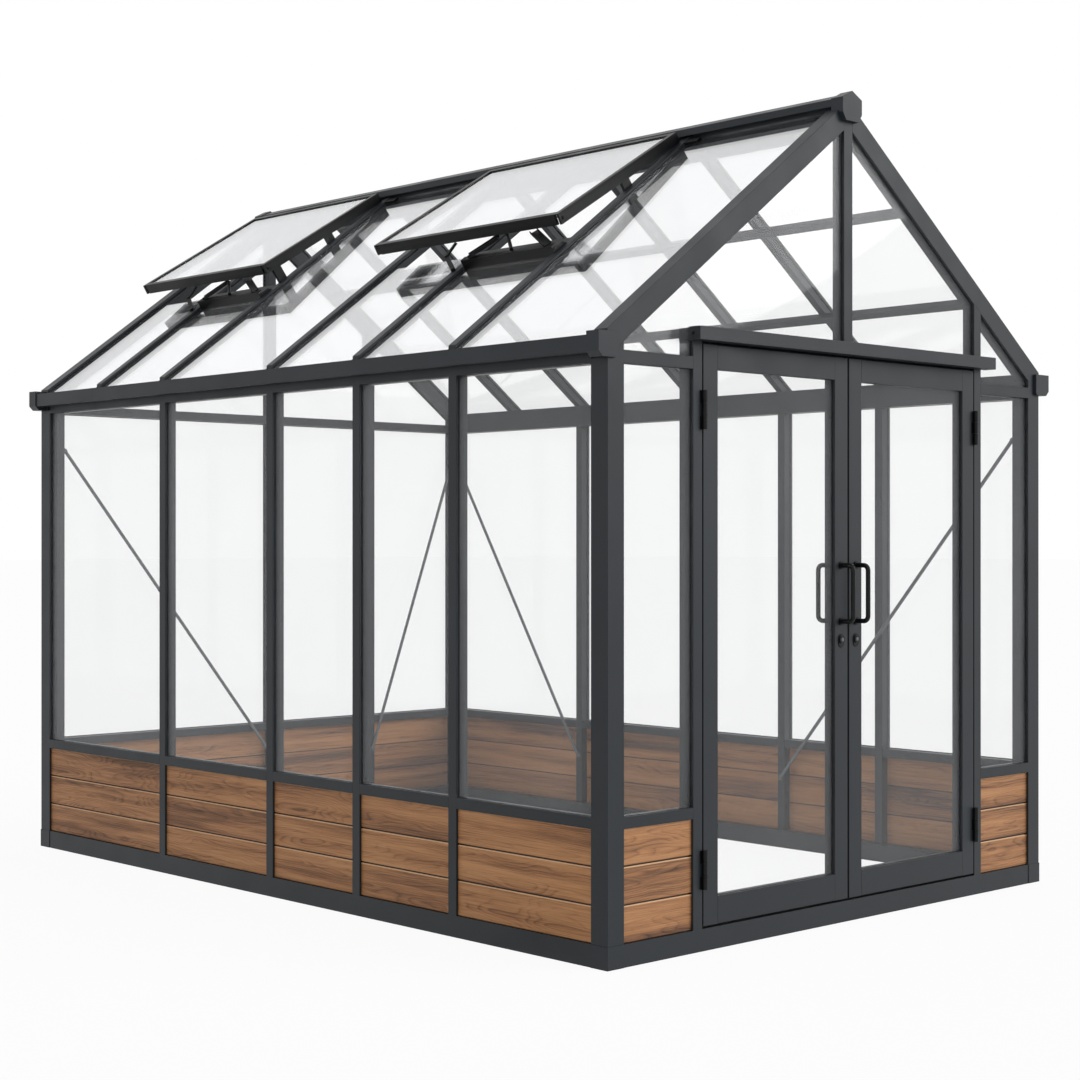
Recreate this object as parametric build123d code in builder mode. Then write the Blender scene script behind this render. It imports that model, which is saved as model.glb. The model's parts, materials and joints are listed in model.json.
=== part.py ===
"""Glass greenhouse on a low timber plinth, with a pair of glazed doors and two roof vents.

Millimetres. X runs across the gable, Y along the house with the doors at -Y, Z is up.
The origin is on the ground, at the middle of the plan.
"""

import os
from math import cos, radians, sin, tan

from build123d import *

os.makedirs("parts", exist_ok=True)

# Overall size
WIDTH = 2300.0
LENGTH = 3360.0
HALF_W = WIDTH / 2
HALF_L = LENGTH / 2
FAR = 6000.0

# Heights of the walls
BASE_H = 70.0
SILL_LOW = 416.0
SILL_TOP = 452.0
EAVE_LOW = 1815.0
EAVE_TOP = 1855.0

# Roof planes: the line of the bars' outer faces meets at RIDGE_Z over the centre line
PITCH = 36.5
RIDGE_Z = 2766.0
SLOPE = tan(radians(PITCH))
COS_P = cos(radians(PITCH))
SIN_P = sin(radians(PITCH))

# Glazing profile: cap, groove for glass and seal, inner leg
CAP = 8.0
REBATE = 17.0
GROOVE = 9.0
LEG_STEP = 2.0
EASE = 1.0
GLASS = 5.0
EDGE_PLAY = 1.0
BAR_FACE = 40.0
BAR_DEPTH = 50.0
POST = 70.0
POST_EASE = 1.5
BLOCK_PROUD = 2.0

# Roof frame
RAFTER_D = 70.0
RAFTER_W = 56.0
ROOF_BAR_FACE = 36.0
ROOF_BAR_DEPTH = 42.0
WEB_HALF = 18.0
RIDGE_LOW = 2657.0
RIDGE_TOP = 2790.0
LIP_HALF = 46.0
LIP_DROP = 21.0
LIP_LIFT = 12.0
PURLIN_X = (390.0, 780.0)
PURLIN_W = 30.0
PURLIN_D = 25.0

# Cover on each end of the ridge
CAP_TOP = 2796.0
CAP_SHOULDER = 2770.0
CAP_CHEEK = 2720.0
CAP_LOW = 2693.0
RIDGE_CAP_HALF = 52.0
CAP_FOOT_HALF = 34.0
RIDGE_CAP_OUT = 18.0
RIDGE_CAP_IN = 32.0

# Bays along the house, front to back
BAYS = (709.0, 505.0, 505.0, 709.0, 466.0, 466.0)
WALL_BARS = 4

# Plinth boards
BOARD_FRONT = 9.0

# Gutter
GUTTER_OUT = 46.0
GUTTER_LOW = 1843.0
GUTTER_TOP = 1895.0
GUTTER_BACK = 1878.0
GUTTER_T = 2.5
GUTTER_SHORT = 40.0
END_LOW = 1828.0
END_TOP = 1906.0
END_PROUD = 12.0
END_SIDE = 50.0
END_BEVEL = 17.0
END_IN = 35.0

# Doors
LEAF_W = 722.0
LEAF_T = 45.0
LEAF_LOW = 78.0
LEAF_TOP = 1896.0
STILE = 68.0
TOP_RAIL = 76.0
BOTTOM_RAIL = 87.0
MEETING_GAP = 8.0
JAMB_GAP = 5.0
JAMB = 42.0
JAMB_DEPTH = 60.0
HEAD_LOW = 1903.0
HEAD_TOP = 1945.0
CANOPY_OUT = 50.0
CANOPY_SIDE = 22.0
OPENING_HALF = LEAF_W + MEETING_GAP / 2 + JAMB_GAP
STOP_GAP = 6.0
STOP_WIDE = 15.0
HINGE_Z = (255.0, 1690.0)
HINGE_H = 122.0
HINGE_PLATE = 13.0
PLATE_T = 3.0
KNUCKLE_R = 9.0
KNUCKLE_GAP = 1.0
PIN_R = 3.5
PIN_PLAY = 0.3
HANDLE_Z = 1105.0
HANDLE_H = 188.0
HANDLE_OUT = 52.0
HANDLE_R = 8.0
HANDLE_BEND = 18.0
ROSE_R = 13.0
LOCK_Z = 950.0

# End walls
KING_FACE = 46.0
STUD_FACE = 42.0
STUD_X = OPENING_HALF + JAMB / 2
BACK_STUD_X = 575.0

# Roof vents: s values run down the slope from the ridge line
HINGE_S = 80.0
SASH_LEN = 690.0
SASH_T = 40.0
SASH_WALL = 10.0
SASH_FLANGE = 22.0
SASH_LEDGE = 20.0
SASH_SHEET = 4.0
SASH_LIFT = 2.0
SASH_PLAY = 2.0
VENT_ANGLE = 5.0
VENT_BAYS = ((1, 2), (4, 5))
SEAT_S = 745.0
SILL_END = 846.0
SILL_RISE = 24.0
SILL_WEB = 5.0
SILL_FLANGE = 26.0
SILL_FOOT = 14.0
TRANSOM_S = (757.0, 790.0)
LAP_S = 752.0
SEAM = 0.5

# Rod braces
ROD_R = 4.0
ROD_HIGH = 1660.0
ROD_FOOT = 290.0
LUG = 10.0


def finish(piece, label):
    """Name a finished sub-part and write it out."""
    piece.part.label = label
    export_step(piece.part, f"parts/{label}.step")


def block(low, high, mode=Mode.ADD):
    """Box between two opposite corners."""
    size = Vector(*high) - Vector(*low)
    with Locations(low):
        Box(size.X, size.Y, size.Z, align=(Align.MIN, Align.MIN, Align.MIN), mode=mode)


def half_section(face, depth, grooved):
    """Right half of a glazing profile, from the outer face round to the inner edge."""
    edge = face / 2
    points = [(edge - EASE, 0), (edge, -EASE)]
    if not grooved:
        return points + [(edge, -depth)]
    groove = [(edge, -CAP), (edge - GROOVE, -CAP), (edge - GROOVE, -REBATE)]
    return points + groove + [(edge - LEG_STEP, -REBATE), (edge - LEG_STEP, -depth)]


def glazing_section(face, depth, sides):
    """Cap, glazing groove and inner leg, with the outer face along the local X axis."""
    right = half_section(face, depth, 1 in sides)
    left = [(-x, y) for x, y in reversed(half_section(face, depth, -1 in sides))]
    with BuildLine() as outline:
        Polyline(*right, *left, close=True)
    make_face(outline.edges())


def bar(start, end, outward, face=BAR_FACE, depth=BAR_DEPTH, sides=(-1, 1)):
    """Glazing bar whose outer face is centred on the line from start to end."""
    run = Vector(*end) - Vector(*start)
    along = run.normalized()
    across = Vector(*outward).cross(along)
    with BuildSketch(Plane(origin=start, x_dir=across, z_dir=along)) as section:
        glazing_section(face, depth, sides)
    extrude(section.sketch, amount=run.length)


def roof_z(x, drop=0.0):
    """Height of the roof plane over x, or of a line that lies drop below it."""
    return RIDGE_Z - abs(x) * SLOPE - drop


def on_slope(s, y, depth=0.0):
    """Point on the left slope, s down from the ridge line and depth under the bars' faces."""
    return (-s * COS_P + depth * SIN_P, y, RIDGE_Z - s * SIN_P - depth * COS_P)


def cut_above_roof(drop):
    """Take away all that is above a line parallel to both slopes."""
    with BuildSketch(Plane.XZ) as above:
        with BuildLine():
            Polyline(
                (-FAR, roof_z(FAR, drop)),
                (0, roof_z(0, drop)),
                (FAR, roof_z(FAR, drop)),
                (FAR, FAR),
                (-FAR, FAR),
                close=True,
            )
        make_face()
    extrude(above.sketch, amount=FAR, both=True, mode=Mode.SUBTRACT)


SLOPE_OUT = (-SIN_P, 0, COS_P)
LEFT_SLOPE = Plane(origin=(0, 0, RIDGE_Z), x_dir=(0, 1, 0), z_dir=SLOPE_OUT)
RAFTER_DROP = RAFTER_D / COS_P
BAR_DROP = ROOF_BAR_DEPTH / COS_P
EAVE_S = HALF_W / COS_P

bar_y = [-HALF_L + sum(BAYS[: i + 1]) for i in range(len(BAYS) - 1)]
wall_bar_y = bar_y[:WALL_BARS]

# Clear stretches between the grooves of neighbouring bars
side_stops = [-HALF_L + POST] + wall_bar_y + [HALF_L - POST]


def bays(stops, face):
    """Stretches between bar faces: stops are bar centres, with post faces at both ends."""
    out = []
    for i in range(len(stops) - 1):
        low = stops[i] + (0 if i == 0 else face / 2)
        high = stops[i + 1] - (0 if i == len(stops) - 2 else face / 2)
        out.append((low, high))
    return out


side_bays = bays(side_stops, BAR_FACE)
front_bays = [(OPENING_HALF + JAMB, HALF_W - POST)]
back_stops = [-HALF_W + POST, 0.0, BACK_STUD_X, HALF_W - POST]
back_bays = bays(back_stops, BAR_FACE)
INTO = GROOVE - EDGE_PLAY


# Ground frame
with BuildPart() as base_rails:
    for x in (-HALF_W, HALF_W - POST):
        block((x, -HALF_L + POST, 0), (x + POST, HALF_L - POST, BASE_H))
    for y in (-HALF_L, HALF_L - POST):
        block((-HALF_W + POST, y, 0), (HALF_W - POST, y + POST, BASE_H))
finish(base_rails, "base_rails")

with BuildPart() as base_corner_blocks:
    block(
        (-HALF_W - BLOCK_PROUD, -HALF_L - BLOCK_PROUD, 0),
        (-HALF_W + POST, -HALF_L + POST, BASE_H),
    )
    outer = base_corner_blocks.edges().filter_by(Axis.Z).group_by(Axis.X)[0].sort_by(Axis.Y)[0]
    chamfer(outer, POST_EASE)
    mirror(about=Plane.YZ)
    mirror(about=Plane.XZ)
finish(base_corner_blocks, "base_corner_blocks")

# Corner posts, with a groove for each pane and a top cut to the rafters
with BuildPart() as corner_posts:
    with BuildSketch(Plane.XY.offset(BASE_H)) as post:
        with Locations((-HALF_W + POST / 2, -HALF_L + POST / 2)):
            Rectangle(POST, POST)
        chamfer(post.vertices().group_by(Axis.X)[0].sort_by(Axis.Y)[0], POST_EASE)
        with Locations((-HALF_W + POST - GROOVE / 2, -HALF_L + (CAP + REBATE) / 2)):
            Rectangle(GROOVE, REBATE - CAP, mode=Mode.SUBTRACT)
        with Locations((-HALF_W + (CAP + REBATE) / 2, -HALF_L + POST - GROOVE / 2)):
            Rectangle(REBATE - CAP, GROOVE, mode=Mode.SUBTRACT)
    extrude(amount=EAVE_TOP + POST - BASE_H)
    cut_above_roof(RAFTER_DROP)
    mirror(about=Plane.YZ)
    mirror(about=Plane.XZ)
finish(corner_posts, "corner_posts")

# Side walls
with BuildPart() as wall_plates:
    with BuildSketch(Plane.XZ):
        with BuildLine():
            Polyline(
                (-HALF_W, EAVE_LOW),
                (-HALF_W, roof_z(HALF_W, BAR_DROP)),
                (-HALF_W + POST - 10, roof_z(HALF_W - POST + 10, BAR_DROP)),
                (-HALF_W + POST - 10, EAVE_LOW),
                close=True,
            )
        make_face()
        with Locations((-HALF_W + (CAP + REBATE) / 2, EAVE_LOW + GROOVE / 2)):
            Rectangle(REBATE - CAP, GROOVE, mode=Mode.SUBTRACT)
    extrude(amount=HALF_L - POST, both=True)
    mirror(about=Plane.YZ)
finish(wall_plates, "wall_plates")

with BuildPart() as side_bars:
    for y in wall_bar_y:
        bar((-HALF_W, y, BASE_H), (-HALF_W, y, EAVE_LOW), (-1, 0, 0))
    mirror(about=Plane.YZ)
finish(side_bars, "side_bars")

SILL_MID = (SILL_LOW + SILL_TOP) / 2
SILL_FACE = SILL_TOP - SILL_LOW
with BuildPart() as side_sills:
    for low, high in side_bays:
        bar((-HALF_W, low, SILL_MID), (-HALF_W, high, SILL_MID), (-1, 0, 0), SILL_FACE, sides=(-1,))
    mirror(about=Plane.YZ)
finish(side_sills, "side_sills")

with BuildPart() as side_boards:
    for low, high in side_bays:
        block((-HALF_W + BOARD_FRONT, low - INTO, BASE_H), (-HALF_W + REBATE, high + INTO, SILL_LOW))
    mirror(about=Plane.YZ)
finish(side_boards, "side_boards")

with BuildPart() as side_glass:
    for low, high in side_bays:
        block(
            (-HALF_W + REBATE - GLASS, low - INTO, SILL_TOP - INTO),
            (-HALF_W + REBATE, high + INTO, EAVE_LOW + INTO),
        )
    mirror(about=Plane.YZ)
finish(side_glass, "side_glass")

# End walls
EAVE_MID = (EAVE_LOW + EAVE_TOP) / 2
EAVE_FACE = EAVE_TOP - EAVE_LOW
with BuildPart() as end_sills:
    for low, high in front_bays:
        bar((low, -HALF_L, SILL_MID), (high, -HALF_L, SILL_MID), (0, -1, 0), SILL_FACE, sides=(1,))
    mirror(about=Plane.YZ)
    for low, high in back_bays:
        bar((low, HALF_L, SILL_MID), (high, HALF_L, SILL_MID), (0, 1, 0), SILL_FACE, sides=(-1,))
finish(end_sills, "end_sills")

with BuildPart() as eave_rails:
    for low, high in front_bays:
        bar((low, -HALF_L, EAVE_MID), (high, -HALF_L, EAVE_MID), (0, -1, 0), EAVE_FACE)
    mirror(about=Plane.YZ)
    for low, high in back_bays:
        bar((low, HALF_L, EAVE_MID), (high, HALF_L, EAVE_MID), (0, 1, 0), EAVE_FACE)
finish(eave_rails, "eave_rails")

with BuildPart() as end_boards:
    for low, high in front_bays:
        block((low - INTO, -HALF_L + BOARD_FRONT, BASE_H), (high + INTO, -HALF_L + REBATE, SILL_LOW))
    mirror(about=Plane.YZ)
    for low, high in back_bays:
        block((low - INTO, HALF_L - REBATE, BASE_H), (high + INTO, HALF_L - BOARD_FRONT, SILL_LOW))
finish(end_boards, "end_boards")

with BuildPart() as end_glass:
    for low, high in front_bays:
        block(
            (low - INTO, -HALF_L + REBATE - GLASS, SILL_TOP - INTO),
            (high + INTO, -HALF_L + REBATE, EAVE_LOW + INTO),
        )
    mirror(about=Plane.YZ)
    for low, high in back_bays:
        block(
            (low - INTO, HALF_L - REBATE, SILL_TOP - INTO),
            (high + INTO, HALF_L - REBATE + GLASS, EAVE_LOW + INTO),
        )
finish(end_glass, "end_glass")

# The stops behind the leaves stand on the jambs and hang from the lintel
LINTEL_HALF = OPENING_HALF + JAMB
STOP_Y = -HALF_L + LEAF_T + STOP_GAP
with BuildPart() as door_jambs:
    bar(
        (STUD_X, -HALF_L, BASE_H),
        (STUD_X, -HALF_L, HEAD_LOW),
        (0, -1, 0),
        JAMB,
        JAMB_DEPTH,
        sides=(-1,),
    )
    block((OPENING_HALF - STOP_WIDE, STOP_Y, BASE_H), (OPENING_HALF, -HALF_L + JAMB_DEPTH, HEAD_LOW))
    mirror(about=Plane.YZ)
finish(door_jambs, "door_jambs")

with BuildPart() as door_lintel:
    block((-LINTEL_HALF, -HALF_L, HEAD_LOW), (LINTEL_HALF, -HALF_L + JAMB_DEPTH, HEAD_TOP))
    stop_half = OPENING_HALF - STOP_WIDE - SEAM
    block(
        (-stop_half, STOP_Y, HEAD_LOW - STOP_WIDE),
        (stop_half, -HALF_L + JAMB_DEPTH, HEAD_LOW),
    )
    block(
        (-LINTEL_HALF, -HALF_L + CAP, HEAD_TOP - GROOVE),
        (LINTEL_HALF, -HALF_L + REBATE, HEAD_TOP),
        Mode.SUBTRACT,
    )
    for x in (-LINTEL_HALF, LINTEL_HALF - GROOVE):
        block(
            (x, -HALF_L + CAP, HEAD_LOW),
            (x + GROOVE, -HALF_L + REBATE, HEAD_TOP),
            Mode.SUBTRACT,
        )
finish(door_lintel, "door_lintel")

CANOPY_HALF = LINTEL_HALF + CANOPY_SIDE
with BuildPart() as door_canopy:
    block((-CANOPY_HALF, -HALF_L - CANOPY_OUT, HEAD_LOW), (CANOPY_HALF, -HALF_L, HEAD_TOP))
    chamfer(door_canopy.faces().sort_by(Axis.Y)[0].edges(), EASE)
finish(door_canopy, "door_canopy")

with BuildPart() as front_king_post:
    bar((0, -HALF_L, HEAD_TOP), (0, -HALF_L, CAP_LOW), (0, -1, 0), KING_FACE)
finish(front_king_post, "front_king_post")

with BuildPart() as front_gable_stud:
    bar((STUD_X, -HALF_L, HEAD_TOP), (STUD_X, -HALF_L, RIDGE_Z), (0, -1, 0), STUD_FACE)
    cut_above_roof(RAFTER_DROP)
finish(front_gable_stud, "front_gable_stud")

with BuildPart() as back_studs:
    bar((BACK_STUD_X, HALF_L, BASE_H), (BACK_STUD_X, HALF_L, RIDGE_Z), (0, 1, 0))
    cut_above_roof(RAFTER_DROP)
    bar((0, HALF_L, BASE_H), (0, HALF_L, CAP_LOW), (0, 1, 0))
finish(back_studs, "back_studs")


def gable_pane(outline, y):
    """Pane in an end wall, cut to the rafters, with its outer face at y."""
    with BuildSketch(Plane.XZ.offset(-y)) as pane:
        with BuildLine():
            Polyline(*outline, close=True)
        make_face()
    extrude(pane.sketch, amount=-GLASS)


KING_EDGE = KING_FACE / 2 - INTO
BACK_EDGE = BAR_FACE / 2 - INTO
WALL_EDGE = HALF_W - POST + INTO
EAVE_EDGE = EAVE_TOP - INTO
HEAD_EDGE = HEAD_TOP - INTO
STUD_IN = STUD_X - STUD_FACE / 2 + INTO
JAMB_EDGE = LINTEL_HALF - INTO
FRONT_GLASS_Y = -HALF_L + REBATE - GLASS
BACK_GLASS_Y = HALF_L - REBATE
with BuildPart() as gable_glass:
    gable_pane(
        (
            (-WALL_EDGE, EAVE_EDGE),
            (-JAMB_EDGE, EAVE_EDGE),
            (-JAMB_EDGE, HEAD_EDGE),
            (-KING_EDGE, HEAD_EDGE),
            (-KING_EDGE, RIDGE_Z),
            (-WALL_EDGE, RIDGE_Z),
        ),
        FRONT_GLASS_Y,
    )
    gable_pane(
        (
            (KING_EDGE, HEAD_EDGE),
            (STUD_IN, HEAD_EDGE),
            (STUD_IN, RIDGE_Z),
            (KING_EDGE, RIDGE_Z),
        ),
        FRONT_GLASS_Y,
    )
    gable_pane(
        (
            (JAMB_EDGE, EAVE_EDGE),
            (WALL_EDGE, EAVE_EDGE),
            (WALL_EDGE, RIDGE_Z),
            (JAMB_EDGE, RIDGE_Z),
        ),
        FRONT_GLASS_Y,
    )
    back_edges = (
        (-WALL_EDGE, -BACK_EDGE),
        (BACK_EDGE, BACK_STUD_X - BACK_EDGE),
        (BACK_STUD_X + BACK_EDGE, WALL_EDGE),
    )
    for low, high in back_edges:
        gable_pane(
            ((low, EAVE_EDGE), (high, EAVE_EDGE), (high, RIDGE_Z), (low, RIDGE_Z)), BACK_GLASS_Y
        )
    cut_above_roof((RAFTER_D - INTO) / COS_P)
finish(gable_glass, "gable_glass")

# Roof frame


def ridge_cap_outline():
    """House-shaped outline of the cover on each end of the ridge."""
    with BuildLine() as outline:
        Polyline(
            (0, CAP_TOP),
            (RIDGE_CAP_HALF, CAP_SHOULDER),
            (RIDGE_CAP_HALF, CAP_CHEEK),
            (CAP_FOOT_HALF, CAP_LOW),
            (-CAP_FOOT_HALF, CAP_LOW),
            (-RIDGE_CAP_HALF, CAP_CHEEK),
            (-RIDGE_CAP_HALF, CAP_SHOULDER),
            close=True,
        )
    make_face(outline.edges())


with BuildPart() as ridge_end_caps:
    with BuildSketch(Plane.XZ.offset(HALF_L + RIDGE_CAP_OUT)):
        ridge_cap_outline()
    extrude(amount=-(RIDGE_CAP_OUT + RIDGE_CAP_IN))
    chamfer(ridge_end_caps.faces().sort_by(Axis.Y)[0].edges(), EASE)
    mirror(about=Plane.XZ)
finish(ridge_end_caps, "ridge_end_caps")

with BuildPart() as rafters:
    with BuildSketch(
        Plane(
            origin=on_slope(0, -HALF_L, RAFTER_D / 2),
            x_dir=(SIN_P, 0, -COS_P),
            z_dir=(-COS_P, 0, -SIN_P),
        )
    ):
        glazing_section(RAFTER_D, RAFTER_W, (1,))
        with Locations(((CAP + REBATE - RAFTER_D) / 2, -RAFTER_W + GROOVE / 2)):
            Rectangle(REBATE - CAP, GROOVE, mode=Mode.SUBTRACT)
    extrude(amount=EAVE_S + RAFTER_D)
    block((-FAR, -HALF_L, 0), (-HALF_W, HALF_L, FAR), Mode.SUBTRACT)
    block((-KING_FACE / 2, -HALF_L, 0), (FAR, HALF_L, FAR), Mode.SUBTRACT)
    with BuildSketch(Plane.XZ.offset(HALF_L + RIDGE_CAP_OUT)):
        ridge_cap_outline()
    extrude(amount=-(RIDGE_CAP_OUT + RIDGE_CAP_IN), mode=Mode.SUBTRACT)
    mirror(about=Plane.YZ)
    mirror(about=Plane.XZ)
finish(rafters, "rafters")

with BuildPart() as ridge_beam:
    with BuildSketch(Plane.XZ):
        with BuildLine():
            Polyline(
                (0, RIDGE_TOP),
                (LIP_HALF - EASE, RIDGE_TOP - LIP_DROP + EASE / 2),
                (LIP_HALF, RIDGE_TOP - LIP_DROP - EASE / 2),
                (LIP_HALF, roof_z(LIP_HALF) + LIP_LIFT),
                (WEB_HALF, roof_z(WEB_HALF) + LIP_LIFT),
                (WEB_HALF, RIDGE_LOW),
                (0, RIDGE_LOW),
            )
            mirror(about=Plane.YZ)
        make_face()
    extrude(amount=HALF_L - RIDGE_CAP_IN, both=True)
    for y in (-HALF_L, HALF_L - BAR_DEPTH):
        block((-WEB_HALF, y, 0), (WEB_HALF, y + BAR_DEPTH, CAP_LOW), Mode.SUBTRACT)
finish(ridge_beam, "ridge_beam")


def roof_bars():
    """One slope's glazing bars from the ridge web to the eave."""
    for y in bar_y:
        bar(
            on_slope(-ROOF_BAR_DEPTH, y),
            on_slope(EAVE_S + ROOF_BAR_DEPTH, y),
            SLOPE_OUT,
            ROOF_BAR_FACE,
            ROOF_BAR_DEPTH,
        )
    block((-WEB_HALF, -HALF_L, 0), (FAR, HALF_L, FAR), Mode.SUBTRACT)
    block((-FAR, -HALF_L, 0), (-HALF_W, HALF_L, FAR), Mode.SUBTRACT)


with BuildPart() as roof_bars_left:
    roof_bars()
finish(roof_bars_left, "roof_bars_left")

with BuildPart() as roof_bars_whole:
    roof_bars()
with BuildPart() as roof_bars_right:
    add(mirror(roof_bars_whole.part, about=Plane.YZ))
finish(roof_bars_right, "roof_bars_right")

roof_stops = [-HALF_L + RAFTER_W] + bar_y + [HALF_L - RAFTER_W]
roof_bays = bays(roof_stops, ROOF_BAR_FACE)
with BuildPart() as purlins_whole:
    for x in PURLIN_X:
        with BuildSketch(LEFT_SLOPE.offset(-ROOF_BAR_DEPTH)):
            with Locations((0, x / COS_P)):
                Rectangle(LENGTH - 2 * RAFTER_W, PURLIN_W)
        extrude(amount=-PURLIN_D)
with BuildPart() as roof_purlins:
    add(mirror(purlins_whole.part, about=Plane.YZ))
finish(roof_purlins, "roof_purlins")

# Roof glass: the vents' openings are left out of the left slope
WEB_PLAY = 6.0
PANE_PAST_EAVE = 18.0
PANE_TOP_S = (WEB_HALF + WEB_PLAY) / COS_P + REBATE * SLOPE
PANE_END_S = EAVE_S + PANE_PAST_EAVE
pane_tops = {}
for front_bay, back_bay in VENT_BAYS:
    pane_tops[front_bay] = SILL_END + EDGE_PLAY
    pane_tops[back_bay] = LAP_S


def roof_pane(low, high, top_s, end_s):
    """Pane on the left slope between the grooves of two bars."""
    with BuildSketch(LEFT_SLOPE.offset(-REBATE)) as pane:
        with Locations(((low + high) / 2, (top_s + end_s) / 2)):
            Rectangle(high - low + 2 * INTO, end_s - top_s)
    extrude(pane.sketch, amount=GLASS)


with BuildPart() as roof_glass_left:
    for i, (low, high) in enumerate(roof_bays):
        roof_pane(low, high, pane_tops.get(i, PANE_TOP_S), PANE_END_S)
finish(roof_glass_left, "roof_glass_left")

with BuildPart() as right_panes:
    for low, high in roof_bays:
        roof_pane(low, high, PANE_TOP_S, PANE_END_S)
with BuildPart() as roof_glass_right:
    add(mirror(right_panes.part, about=Plane.YZ))
finish(roof_glass_right, "roof_glass_right")

# Gutters
with BuildPart() as gutters:
    x_out = -HALF_W - GUTTER_OUT
    with BuildSketch(Plane.XZ):
        with BuildLine():
            Polyline(
                (-HALF_W, GUTTER_LOW),
                (-HALF_W, GUTTER_BACK),
                (-HALF_W - GUTTER_T, GUTTER_BACK),
                (-HALF_W - GUTTER_T, GUTTER_LOW + GUTTER_T),
                (x_out + GUTTER_T, GUTTER_LOW + GUTTER_T),
                (x_out + GUTTER_T, GUTTER_TOP),
                (x_out, GUTTER_TOP),
                (x_out, GUTTER_LOW),
                close=True,
            )
        make_face()
    extrude(amount=HALF_L - GUTTER_SHORT, both=True)
    mirror(about=Plane.YZ)
finish(gutters, "gutters")

with BuildPart() as gutter_end_caps:
    with BuildSketch(Plane.XZ.offset(HALF_L + END_PROUD)):
        with BuildLine():
            Polyline(
                (-HALF_W + END_IN, END_TOP),
                (-HALF_W - END_SIDE, END_TOP),
                (-HALF_W - END_SIDE, END_LOW + END_BEVEL),
                (-HALF_W - END_SIDE + END_BEVEL, END_LOW),
                (-HALF_W + END_IN - END_BEVEL / 2, END_LOW),
                (-HALF_W + END_IN, END_LOW + END_BEVEL / 2),
                close=True,
            )
        make_face()
    extrude(amount=-(END_PROUD + GUTTER_SHORT))
    chamfer(gutter_end_caps.faces().sort_by(Axis.Y)[0].edges(), EASE)
    block((-HALF_W, -HALF_L, 0), (0, HALF_L, FAR), Mode.SUBTRACT)
    mirror(about=Plane.YZ)
    mirror(about=Plane.XZ)
finish(gutter_end_caps, "gutter_end_caps")

# Rod braces inside the corners, each with a lug at both ends


def rod(start, end, radius=ROD_R):
    """Round rod between two points."""
    run = Vector(*end) - Vector(*start)
    with BuildSketch(Plane(origin=start, z_dir=run.normalized())) as section:
        Circle(radius)
    extrude(section.sketch, amount=run.length)


def lug(x, y, z, along_x):
    """Small plate on the face of a post or bar that holds a rod's end."""
    half = Vector(LUG, ROD_R, LUG) if along_x else Vector(ROD_R, LUG, LUG)
    block(Vector(x, y, z) - half, Vector(x, y, z) + half)


ROD_X = HALF_W - BAR_DEPTH - ROD_R
ROD_Y = HALF_L - BAR_DEPTH - ROD_R
POST_X = HALF_W - POST - ROD_R
POST_Y = HALF_L - POST - ROD_R
LUG_IN = LUG - ROD_R
with BuildPart() as wall_braces:
    for side, foot_x in ((-1, 0.0), (1, BACK_STUD_X)):
        rod((side * POST_X, ROD_Y, ROD_HIGH), (foot_x, ROD_Y, ROD_FOOT))
        lug(side * (POST_X - LUG_IN), ROD_Y, ROD_HIGH, True)
        lug(foot_x, ROD_Y, ROD_FOOT, True)
    for side, foot_y in ((-1, wall_bar_y[1]), (1, wall_bar_y[3])):
        rod((ROD_X, side * POST_Y, ROD_HIGH), (ROD_X, foot_y, ROD_FOOT))
        lug(ROD_X, side * (POST_Y - LUG_IN), ROD_HIGH, False)
        lug(ROD_X, foot_y, ROD_FOOT, False)
finish(wall_braces, "wall_braces")

# Roof vents, propped open
OPEN_PITCH = PITCH - VENT_ANGLE
SASH = Plane(
    origin=on_slope(HINGE_S, 0, -SASH_LIFT),
    x_dir=(0, 1, 0),
    z_dir=(-sin(radians(OPEN_PITCH)), 0, cos(radians(OPEN_PITCH))),
)
vent_spans = [
    (bar_y[0] + SASH_PLAY, bar_y[2] - SASH_PLAY),
    (bar_y[3] + SASH_PLAY, HALF_L - RAFTER_W / 2 - SASH_PLAY),
]

# Outer wall with a flange over the glass and a ledge under it
PANE_HIGH = SASH_T - SASH_SHEET - SEAM
LEDGE_HIGH = PANE_HIGH - GLASS - SEAM
SASH_SECTION = (
    (0, 0),
    (SASH_WALL, 0),
    (SASH_WALL, LEDGE_HIGH - SASH_SHEET),
    (SASH_LEDGE, LEDGE_HIGH - SASH_SHEET),
    (SASH_LEDGE, LEDGE_HIGH),
    (SASH_WALL, LEDGE_HIGH),
    (SASH_WALL, SASH_T - SASH_SHEET),
    (SASH_FLANGE, SASH_T - SASH_SHEET),
    (SASH_FLANGE, SASH_T),
    (EASE, SASH_T),
    (0, SASH_T - EASE),
)


def sash_member(start, inward, length):
    """Profiled member of a vent sash, placed on the sash's own plane."""
    at = SASH.from_local_coords(start)
    into = SASH.from_local_coords(inward) - SASH.origin
    with BuildSketch(Plane(origin=at, x_dir=into, z_dir=into.cross(SASH.z_dir))) as section:
        with BuildLine():
            Polyline(*SASH_SECTION, close=True)
        make_face()
    extrude(section.sketch, amount=length)


with BuildPart() as vent_sashes:
    for low, high in vent_spans:
        edge = SASH_FLANGE + SEAM
        inner = high - low - 2 * edge
        sash_member((low, SASH_LEN, 0), (1, 0, 0), SASH_LEN)
        sash_member((high, 0, 0), (-1, 0, 0), SASH_LEN)
        sash_member((low + edge, 0, 0), (0, 1, 0), inner)
        sash_member((high - edge, SASH_LEN, 0), (0, -1, 0), inner)
finish(vent_sashes, "vent_sashes")

with BuildPart() as vent_glass:
    for low, high in vent_spans:
        with BuildSketch(SASH.offset(PANE_HIGH - GLASS)):
            with Locations(((low + high) / 2, SASH_LEN / 2)):
                reach = 2 * (SASH_WALL + EDGE_PLAY)
                Rectangle(high - low - reach, SASH_LEN - reach)
        extrude(amount=GLASS)
finish(vent_glass, "vent_glass")


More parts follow.
